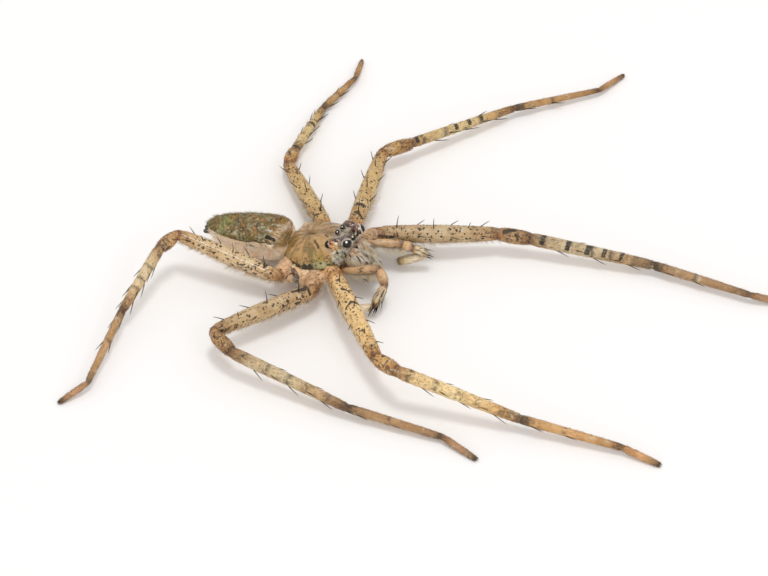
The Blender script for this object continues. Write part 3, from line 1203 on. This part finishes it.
def make_trunk():
    """Soft body under the head shield, with the breast plate, the stalk and the lost legs' stumps."""
    trunk = ball("trunk", (-6.75, TRUNK_Y, 2.0), (3.45, 2.75, 1.25), 40, 24)
    plate = ball("breast", (-7.0, TRUNK_Y, 1.32), (2.65, 1.55, 0.5), 32, 16)
    pieces = [trunk, plate]
    for side in SIDES.values():
        for x, y, wide in ((-5.6, 1.75, 0.95), (-7.0, 2.3, 1.0), (-8.5, 1.9, 1.05), (-9.6, 1.2, 0.85)):
            at = (x, TRUNK_Y + side * y, 1.9)
            pieces.append(ball("pleura", at, (wide, 1.15, 0.85), 24, 14))
    for x, y, z, size in FLESH:
        pieces.append(ball("fold", (x, y, z), size, 24, 14))
    for root, tip in STUMPS:
        rings = [(0, 0.75, 0.8), (0.6, 0.84, 0.85), (1.2, 0.8), (1.7, 0.62), (1.85, 0.34)]
        stump = lay_along(capped("stump", rings, 16), root, Vector(tip) - Vector(root))
        pieces.append(rounded(stump, 1))
    rings = [(0, 0.5, 0.45), (0.8, 0.42, 0.38), (1.7, 0.42, 0.4), (2.4, 0.5)]
    stalk = lay_along(capped("stalk", rings, 16), (-9.6, -0.65, 1.75), (-2.35, -0.35, 0.9))
    pieces.append(rounded(stalk, 1))
    whole = join(pieces, "skin_trunk")
    modify(whole, "REMESH", mode="VOXEL", voxel_size=0.09)
    modify(whole, "SMOOTH", factor=0.5, iterations=6)
    crease = bpy.data.textures.new("crease", "CLOUDS")
    crease.noise_scale, crease.noise_depth = 0.8, 1
    modify(whole, "DISPLACE", texture=crease, strength=0.28, mid_level=0.5, texture_coords="GLOBAL")
    bpy.data.textures.remove(crease)
    bpy.ops.object.shade_smooth()
    return whole


def make_eye(kind, side):
    """Lens and the raised rim of skin it sits in."""
    spot, radius, gaze = EYES[kind]
    at = on_head(spot, side)
    gaze = Vector((gaze[0], side * gaze[1], gaze[2])).normalized()
    letter = letter_of(side)
    lens = ball(f"lens_{kind}_{letter}", at, (radius,) * 3)
    deselect()
    bpy.ops.mesh.primitive_torus_add(
        major_radius=radius, minor_radius=radius * 0.19, major_segments=36, minor_segments=12)
    rim = bpy.context.object
    rim.name = f"rim_{kind}_{letter}"
    bpy.ops.object.shade_smooth()
    lay_along(rim, at + gaze * radius * 0.12, gaze, (0.1, 0.2, 0.97))
    drag(rim, at + Vector((0, 0, radius)) + gaze * radius * 0.3, gaze * radius * 0.18, radius * 0.9)
    return lens, rim


def make_mounds(side):
    """Glossy mound behind the rear side eye, and the lid over the front side eye."""
    letter = letter_of(side)
    middle = on_head((-4.68, 1.5, 5.33), side)
    rear = ball(f"mound_rear_{letter}", middle, (0.64, 0.62, 0.64))
    drag(rear, on_head((-4.2, 1.7, 5.2), side), (0.2, side * 0.05, -0.15), 0.5)
    front = ball(f"mound_front_{letter}", on_head((-3.62, 0.94, 5.98), side), (0.54, 0.5, 0.46))
    for piece in (rear, front):
        off = (points_of(piece) - np.array(middle)) / 0.7
        note(piece, "outer", np.clip(0.5 + 0.32 * (side * off[:, 1] + 0.9 * off[:, 0]), 0, 1), "FLOAT")
    return rear, front


def make_jaw(side):
    """Jaw: a stout bulging limb with a groove for the fang."""
    base, tip = on_side(JAW["base"], side), on_side(JAW["tip"], side)
    way = tip - base
    length = way.length
    rings = [(-0.3, 0.5), (0.0, 0.72), (0.5, 0.84, 0.86), (1.2, 0.82, 0.86), (2.0, 0.72, 0.74),
             (length - 0.2, 0.6), (length + 0.2, 0.45), (length + 0.45, 0.22)]
    jaw = rounded(lay_along(capped(f"skin_jaw_{letter_of(side)}", rings, 18), base, way))
    note_limb(jaw, [base, tip], 0.0, 10 + side, 0.3)
    return jaw


def make_fang(side):
    """Curved dark fang folded in under the jaw."""
    tip = on_side(JAW["tip"], side) + Vector((0.05, 0, -0.15))
    rings = [(0, 0.24), (0.25, 0.22), (0.5, 0.17), (0.8, 0.1), (1.05, 0.03)]
    way = Vector((-0.35, -side * 0.6, -0.6))
    fang = lay_along(capped(f"fang_{letter_of(side)}", rings, 10), tip, way)
    drag(fang, tip + way * 1.2, (-0.16, 0, 0.08), 0.8)
    return rounded(fang)


def make_palp(letter):
    """Skin of one palp from its lobe to its tip."""
    joints = [Vector(point) for point in PALPS[letter]]
    tubes = []
    for i, (start, end) in enumerate(zip(joints, joints[1:])):
        trims = [trim_at(joints, k, 0.42, 0.05, 1.9) for k in (i, i + 1)]
        lip = 0.84 if i < 4 else 0.7
        tubes.append(limb_tube(start, end, PALP_GIRTH[i], trims, 14, lip, 5))
    palp = rounded(chain(f"skin_palp_{letter}", tubes, 14))
    note_limb(palp, joints, (joints[1] - joints[0]).length, 20 + (letter == "l"), 0.5)
    return palp, joints


def make_spinnerets():
    """Four short blunt cones in a bunch at the abdomen's tip."""
    turn = turned(ABDOMEN_HEADING)
    root = ABDOMEN_AT + turn @ Vector((-8.15, 0, -0.4))
    cones = []
    for across in (-0.5, 0.5):
        for row, length in enumerate((0.95, 0.75)):
            offset = Vector((0, across, row - 0.5)) * 0.4
            reach = offset * 1.5 - Vector((length, 0, 0))
            rings = [(0, 0.27), (0.3, 0.28), (length - 0.1, 0.25), (length + 0.08, 0.17)]
            cone = capped("spinner", rings, 12)
            cones.append(rounded(lay_along(cone, root + turn @ offset, turn @ (reach - offset)), 1))
    return join(cones + [ball("knob", root, (0.48, 0.5, 0.5), 20, 12)], "spinnerets_skin")


# Spines and hair

# How deep a hair's root sits in the skin
ROOT_DEPTH = 0.02
# Spines of each part: shares of its length, degrees round it, lean and length
SPINES = {
    "femur": [((0.14, 0.45), (0,), 94, 1.85), ((0.74,), (0,), 80, 0.9),
              ((0.3, 0.58, 0.84), (-62, 62), 40, 1.15)],
    "tibia": [((0.2, 0.5, 0.78), (-118, 118), 18, 1.6), ((0.34, 0.66), (-75, 75), 16, 1.2)],
    "metatarsus": [((0.1, 0.42), (-100, 100), 14, 1.4)],
}
SHADES = "#1c1510", "#5b4027", "#e4d6b4", "#f4efe2", "#dbb394", "#8d8d55"
DARK, BROWN, CREAM, WHITE, PINK, OLIVE = (np.array(paint(code)) for code in SHADES)


def make_spines(name, joints):
    """Dark stiff spines of one leg, set in order along its parts."""
    thick = LEG_SIZES[LEGS[name][0]]["thick"]
    rng = np.random.default_rng(50 + LEG_NUMBER[name])
    at, ways, sweeps, lengths, places = [], [], [], [], []
    total = sum(run[4] for run in frames_along(joints))
    done = 0.0
    for part, (start, way, side, up, length) in zip(["coxa", *PARTS], frames_along(joints)):
        for shares, rounds, lean, size in SPINES.get(part, []):
            first, last, swell = (value * thick for value in GIRTH[part])
            for share in shares:
                for turn in rounds:
                    angle = math.radians(turn + rng.normal() * 5)
                    out = side * math.sin(angle) + up * math.cos(angle)
                    tilt = math.radians(lean + rng.normal() * 3)
                    radius = first + (last - first) * share + swell * math.sin(math.pi * share)
                    at.append(start + way * (share * length) + out * radius * 0.8)
                    ways.append(out * math.sin(tilt) + way * math.cos(tilt))
                    sweeps.append(way * 0.1 - out * 0.04)
                    lengths.append(size * rng.uniform(0.9, 1.05) + radius * 0.2)
                    places.append((angle / (2 * math.pi) + 0.5, (done + share * length) / total))
        done += length
    end, way, side, up = joints[-1], *frames_along(joints)[-1][1:4]
    for off in (-1, 1):
        at.append(end - way * 0.1 + side * off * 0.09 + up * 0.1)
        ways.append(way + up * 0.5)
        sweeps.append(way * 0.1 - up * 0.75)
        lengths.append(0.34)
        places.append((0.5 + off * 0.1, 0.99))
    return strands(f"spines_leg_{name}", at, ways, sweeps, np.array(lengths), 0.14, DARK, BROWN * 0.6,
                   np.clip(places, 0.01, 0.99), (0.0, 0.25, 0.5, 0.75, 1.0))


def picked(last, *pairs):
    """For each row the shade of the first mask that holds there, or else the last shade."""
    for mask, shade in reversed(pairs):
        last = np.where(mask[:, None], shade, last)
    return last


def grow(name, spots, flow, sweep, length, width, root, tip, low, high):
    """Hair from the spots of a skin that is unwrapped from low to high along its length."""
    return strands(name, spots.at - spots.out * ROOT_DEPTH, flow, sweep, length, width, root, tip,
                   unwrap(spots.limb, low, high))


def clumps(at, count, seed):
    """A number from 0 to 1 and a lean that neighbouring hairs share."""
    rng = np.random.default_rng(seed)
    middles = at[rng.choice(len(at), count, replace=False)]
    nearest = np.concatenate([
        np.linalg.norm(rows[:, None] - middles[None], axis=2).argmin(1)
        for rows in np.array_split(at, 8)])
    return rng.random(count)[nearest], rng.normal(size=(count, 3))[nearest]


def layout_of(joints):
    """The way of each run of a limb, and where its layout starts and ends."""
    runs = frames_along(joints)
    before = runs[0][4]
    return np.array([run[1] for run in runs]), -before, sum(run[4] for run in runs) - before


def leg_colour(share, warm):
    """Colour of the coat at a place along a leg."""
    stops = np.array([s for s, _ in LEG_COAT])
    shades = np.array([paint(c) for _, c in LEG_COAT])
    shade = np.stack([np.interp(share, stops, shades[:, k]) for k in range(3)], 1)
    return shade * (1 + warm * np.array([0.03, -0.07, -0.28]))


def coat_leg(leg, name, joints):
    """Fine hair of one leg: a lying coat, and a pale fringe under the femur."""
    warm = LEGS[name][-1]
    ways, low_end, high_end = layout_of(joints)
    spots = scatter(leg, 15000, 10 + LEG_NUMBER[name])
    low = spots.limb[:, 2] < -0.3
    dense = np.interp(spots.share, (0, 1, 3, 4, 4.6, 5, 6), (0.3, 0.22, 0.3, 0.5, 0.8, 1, 1))
    dense = np.where(low & (spots.share < 3.0), 0.5, dense)
    held = (spots.luck * 17) % 1 < dense
    spots = only(spots, held)
    part = np.clip(spots.share.astype(int), 0, 5)
    way = ways[part]
    fringe = low[held] & (spots.share < 2.1) & (spots.luck < 0.7)
    tarsus = spots.share > 4.6
    lift = np.where(fringe, 1.9, 0.3 + 0.25 * spots.luck) * np.where(tarsus, 1.6, 1.0)
    go = unit(way + spots.out * lift[:, None] + spots.jitter * 0.16)
    skirt = fringe & (spots.share > 0.6) & (spots.share < 1.45)
    length = np.where(fringe, np.where(skirt, 1.15, 0.62), 0.26) * (0.6 + 0.6 * spots.luck)
    length = np.where(tarsus, length * 0.8, length)
    sweep = way * 0.25 - spots.out * 0.12
    shade = leg_colour(spots.share, warm) * LIGHT[name]
    pale = shade * 0.55 + CREAM * 0.45
    dark = shade * 0.42
    bright = (spots.luck * 7) % 1 < 0.62
    root = picked(dark, (bright | fringe, pale))
    root = picked(root, ((spots.share > 4.0) & ~fringe, root * 0.72))
    tip = picked(root * 1.15, (fringe, WHITE))
    return grow(f"coat_leg_{name}", spots, go, sweep, length, np.where(fringe, 0.032, 0.022), root, tip,
                low_end, high_end)


def coat_trunk(piece):
    """Fine white hair on the folded flesh of the sides."""
    note(piece, "limb", points_of(piece) - np.array((-7.0, TRUNK_Y, 2.0)))
    spots = scatter(piece, 5200, 70, lambda s: (s.out[:, 2] > -0.6) & (s.out[:, 2] < 0.8))
    length = 0.45 * (0.5 + 0.8 * spots.luck)
    flow = spots.out + spots.jitter * 0.25 + np.array([0, 0, -0.3])
    sweep = np.array([[0.0, 0, -0.25]])
    return grow("coat_trunk", spots, flow, sweep, length, 0.022, WHITE * 0.8, WHITE, -4.5, 4.5)


def coat_abdomen(piece):
    """Short hair lying backwards over the abdomen."""
    turn = np.array(turned(ABDOMEN_HEADING))
    back = turn @ np.array([-1, 0, -0.15])
    spots = scatter(piece, 7000, 71)
    top = spots.above > 0.25
    flow = back + spots.out * (0.3 + 0.2 * spots.luck)[:, None] + spots.jitter * 0.35
    length = np.where(top, 0.34, 0.26) * (0.6 + 0.8 * spots.luck)
    tone = (spots.luck * 9) % 1
    side, gold, green, brown = (paint(code) for code in ("#fff0dd", "#b5a468", "#7d8241", "#54411f"))
    shade = picked(brown, (~top, side), (tone < 0.35, gold), (tone < 0.7, green))
    return grow("coat_abdomen", spots, flow, back * 0.2, length, 0.024, shade, shade * 1.1, -9.0, 0.6)


def coat_shield(piece):
    """Sparse short hair on the head shield, long white hair round the eyes and on the face."""
    turn = np.array(turned(SHIELD_HEADING, SHIELD_PITCH))
    own = lambda rows: np.array(rows) @ turn.T
    spots = scatter(piece, 22000, 72, lambda s: s.above > 0.0)
    eyes = np.array([on_head(EYES[k][0], side) for k in EYES for side in SIDES.values()])
    size = np.array([EYES[k][1] for k in EYES for side in SIDES.values()])
    away = np.linalg.norm(spots.at[:, None] - eyes[None], axis=2) - size
    near = away.min(1)
    face = spots.limb[:, 0] > 2.3
    mound = np.min([np.linalg.norm(spots.at - np.array(on_head(spot, s)), axis=1) - reach
                    for s in (-1, 1) for spot, reach in (((-4.8, 1.55, 5.35), 0.92),
                                                         ((-3.65, 0.97, 5.95), 0.6))], axis=0) < 0
    cheek = face & (spots.above < 0.75)
    dense = np.where(face, np.where(near < 0.55, 0.55, 0.5), 0.16)
    held = (spots.luck < dense) & ~mound & (near > 0.1)
    spots = only(spots, held)
    near, face, cheek = near[held], face[held], cheek[held]
    nearest = eyes[away[held].argmin(1)]
    from_eye = unit(spots.at - nearest)
    downhill = own([[1.0, 0, -0.9]])[0]
    backward = own([[-1.0, 0, -0.1]])[0]
    clump, lean = clumps(spots.at, 170, 73)
    flow = picked(backward + spots.out * 0.3,
                  (face & (near < 0.35), from_eye * 0.9 + spots.out * 0.35),
                  (cheek, downhill + spots.out * 0.3))
    flow = unit(flow) + lean * 0.25 + spots.jitter * 0.08
    length = np.where(cheek, 0.6, np.where(face, 0.3, 0.24)) * (0.55 + 0.7 * spots.luck)
    even = (spots.luck * 11) % 1 < 0.5
    shade = picked(DARK * 1.6, (~face & even, CREAM * 0.7), (~face, OLIVE * 0.7),
                   (clump < 0.5, WHITE * 0.85), (clump < 0.78, CREAM * 0.8), (clump < 0.9, OLIVE))
    sweep = picked(own([[-0.25, 0, -0.1]])[0], (cheek, own([[0.1, 0, -0.4]])[0]))
    return grow("coat_shield", spots, flow, sweep, length, np.where(face, 0.04, 0.02), shade * 0.9,
                shade * 1.15, -4.0, 4.0)


def coat_jaw(jaw, side):
    """Shaggy hair of a jaw, in locks of cream, white, brown and black, flowing down and forwards."""
    spots = scatter(jaw, 8200, 80 + side, lambda s: s.limb[:, 0] < 2.95)
    way = np.array((on_side(JAW["tip"], side) - on_side(JAW["base"], side)).normalized())
    clump, lean = clumps(spots.at * [1.0, 1.6, 1.0], 620, 83 + side)
    late = spots.limb[:, 0] > 2.1
    flow = unit(way + spots.out * 0.42 + lean * 0.2 + spots.jitter * 0.07)
    length = (0.4 + 0.35 * spots.luck) * np.where(spots.limb[:, 2] > -0.2, 1.0, 0.6)
    edge = 0.45 - 0.2 * late
    ink = ((clump * 37) % 1 < np.where(late, 0.22, 0.13)) & ((spots.luck * 5) % 1 < 0.8)
    shade = picked(PINK, (ink, DARK * 1.6), (clump < edge, CREAM), (clump < edge + 0.4, WHITE))
    sweep = np.array([[0.15, 0, -0.35]]) - spots.out * 0.14
    return grow(f"coat_jaw_{letter_of(side)}", spots, flow, sweep, length, 0.034, shade * 0.9,
                shade * 1.15, -0.4, 3.6)


def coat_palp(palp, letter, joints):
    """Hair of a palp: a thin lying coat, a pale fringe under the femur, black bristles at its end."""
    ways, low_end, high_end = layout_of(joints)
    spots = scatter(palp, 9000, 90 + (letter == "l"), lambda s: s.share > 0.9)
    share, luck = spots.share, (spots.luck * 13) % 1
    fringe = (spots.limb[:, 2] < -0.2) & (share > 1) & (share < 2) & (luck < 0.24)
    outer = spots.limb[:, 1] * (-1 if letter == "l" else 1)
    many = np.where(share > 3.75, 0.075, 0.025)
    bristle = (share > 3.1) & (share < 4.2) & (luck < many) & (outer > -0.1)
    held = fringe | bristle | (luck > 0.83)
    spots = only(spots, held)
    share, luck, fringe, bristle = share[held], luck[held], fringe[held], bristle[held]
    way = ways[np.clip(share.astype(int), 0, 4)]
    way = picked(way, (bristle & (share >= 4), ways[3]))
    lift = np.where(fringe, 2.4, 0.35)
    _, lean = clumps(spots.at, 60, 95)
    go = unit(way + spots.out * lift[:, None] + spots.jitter * 0.06 + lean * 0.1)
    length = np.where(fringe, 1.3, np.where(bristle, 0.9, 0.3)) * (0.6 + 0.6 * spots.luck)
    shade = picked(BROWN * 0.8, (bristle, DARK * 1.3), (fringe, CREAM), (luck < 0.95, CREAM * 0.8))
    width = np.where(bristle, 0.06, np.where(fringe, 0.045, 0.022))
    return grow(f"coat_palp_{letter}", spots, go, way * 0.3 - spots.out * 0.1, length, width,
                shade * 0.85, shade * 1.1, low_end, high_end)


def lamp(name, at, size, power):
    """Square lamp that looks at the middle of the part."""
    light = bpy.data.lights.new(name, "AREA")
    light.size = size
    light.energy = power
    thing = bpy.data.objects.new(name, light)
    bpy.context.scene.collection.objects.link(thing)
    thing.location = at
    thing.rotation_euler = (-Vector(at)).to_track_quat("-Z", "Y").to_euler()


# Putting it together

leg_skin = leg_finish()
hair = hair_finish("hair")
spine = hair_finish("spine", 0.3)

for name in LEGS:
    leg, joints = make_leg(name)
    coat = coat_leg(leg, name, joints)
    spines = make_spines(name, joints)
    nodes = [f"leg_{name}_{part}" for part in ("coxa", *PARTS)]
    bring(leg, leg_skin, "leg", *nodes)
    bring(coat, hair, "leg")
    bring(spines, spine, "foot")

shield = make_shield()
coat = coat_shield(shield)
bring(shield, shell_finish(), "carapace", "carapace")
bring(coat, hair, "carapace")

abdomen = make_abdomen()
coat = coat_abdomen(abdomen)
bring(abdomen, abdomen_finish(), "abdomen", "abdomen")
bring(coat, hair, "abdomen")

flesh = soft_finish("soft_skin", "#eed6b2", "#ddb58a", "#a9744a", 0.8,
                    [((-15.5, -10.1), (-15.0, -10.4)), ((-13.4, -9.7), (-12.9, -10.2))])
trunk = make_trunk()
coat = coat_trunk(trunk)
bring(trunk, flesh, "skin", "pedicel", "sternum", "leg_r3_coxa", "leg_l4_coxa")
bring(coat, hair, "skin")
spinner_skin = plain_finish("spinner_skin", "#5f5d5b", 0.5, "#34302e")
bring(make_spinnerets(), spinner_skin, "spinner", "spinnerets")

lens_finish = eye_finish()
rim_finish = plain_finish("eye_rim", "#9a7f60", 0.3, "#3a2618", Coat_Weight=0.5, Coat_Roughness=0.15)
pale_rim = plain_finish("pale_rim", "#c4b7a6", 0.3, "#6e5c4a", Coat_Weight=0.5, Coat_Roughness=0.15)
for kind in EYES:
    for letter, side in SIDES.items():
        lens, rim = make_eye(kind, side)
        bring(lens, lens_finish, "eye", f"eye_{kind}_{letter}")
        bring(rim, pale_rim if kind == "ale" else rim_finish, "carapace")
amber = {"r": mound_finish("amber_mound", "#1f0f07", "#4a230c", "#a05a1a", "#c9a06c"),
         "l": mound_finish("dark_mound", "#35190c", "#4f2b16", "#6b4426", "#8a6038", arc=0.85)}
brown = {"r": mound_finish("violet_mound", "#1c1013", "#2f1c1e", "#4a3634", "#6f5f5c"),
         "l": mound_finish("brown_mound", "#2c120a", "#45200f", "#5e3320", "#7c5a48")}
for letter, side in SIDES.items():
    rear, front = make_mounds(side)
    bring(rear, amber[letter], "carapace")
    bring(front, brown[letter], "carapace")

jaw_skin = soft_finish("jaw_skin", "#e4cdb0", "#cba98b", "#8f6a50", 0.4)
fang_finish = plain_finish("fang", "#2a100a", 0.2, "#120605", Coat_Weight=0.6, Coat_Roughness=0.1)
for letter, side in SIDES.items():
    jaw = make_jaw(side)
    coat = coat_jaw(jaw, side)
    bring(jaw, jaw_skin, "jaw", f"chelicera_{letter}")
    bring(coat, hair, "jaw")
    bring(make_fang(side), fang_finish, "jaw")

palp_skin = palp_finish()
for letter in SIDES:
    palp, joints = make_palp(letter)
    coat = coat_palp(palp, letter, joints)
    bring(palp, palp_skin, "leg", *(f"palp_{letter}_{part}" for part in ("femur", "tibia", "tarsus")))
    bring(coat, hair, "leg")

# Floor, light and camera
deselect()
bpy.ops.mesh.primitive_plane_add(size=6.0, location=(0, 0, 0))
floor = bpy.context.object
floor.name = "floor"
paper = Finish("floor_paper", Roughness=0.9, Specular_IOR_Level=0.1)
floor.data.materials.append(paper.done((0.93, 0.925, 0.92)))

world = bpy.data.worlds.new("studio")
bpy.context.scene.world = world
world.use_nodes = True
sky = world.node_tree.nodes["Background"].inputs
sky[0].default_value = (1.0, 0.975, 0.96, 1)
sky[1].default_value = 0.81

lamp("overhead", (0.0, 0.03, 0.42), 0.1, 0.48)
lamp("side", (0.3, -0.12, 0.3), 0.08, 0.08)
lamp("fill", (0.1, -0.34, 0.08), 0.15, 0.13)

camera_data = bpy.data.cameras.new("camera")
camera_data.lens, camera_data.sensor_width, camera_data.clip_start = 140.6, 36.0, 0.01
camera = bpy.data.objects.new("camera", camera_data)
bpy.context.scene.collection.objects.link(camera)
camera.location = CAMERA_AT * MM
camera.rotation_euler = (BODY_AT * MM - camera.location).to_track_quat("-Z", "Y").to_euler()
bpy.context.scene.camera = camera
bpy.context.scene.view_settings.view_transform = "Standard"
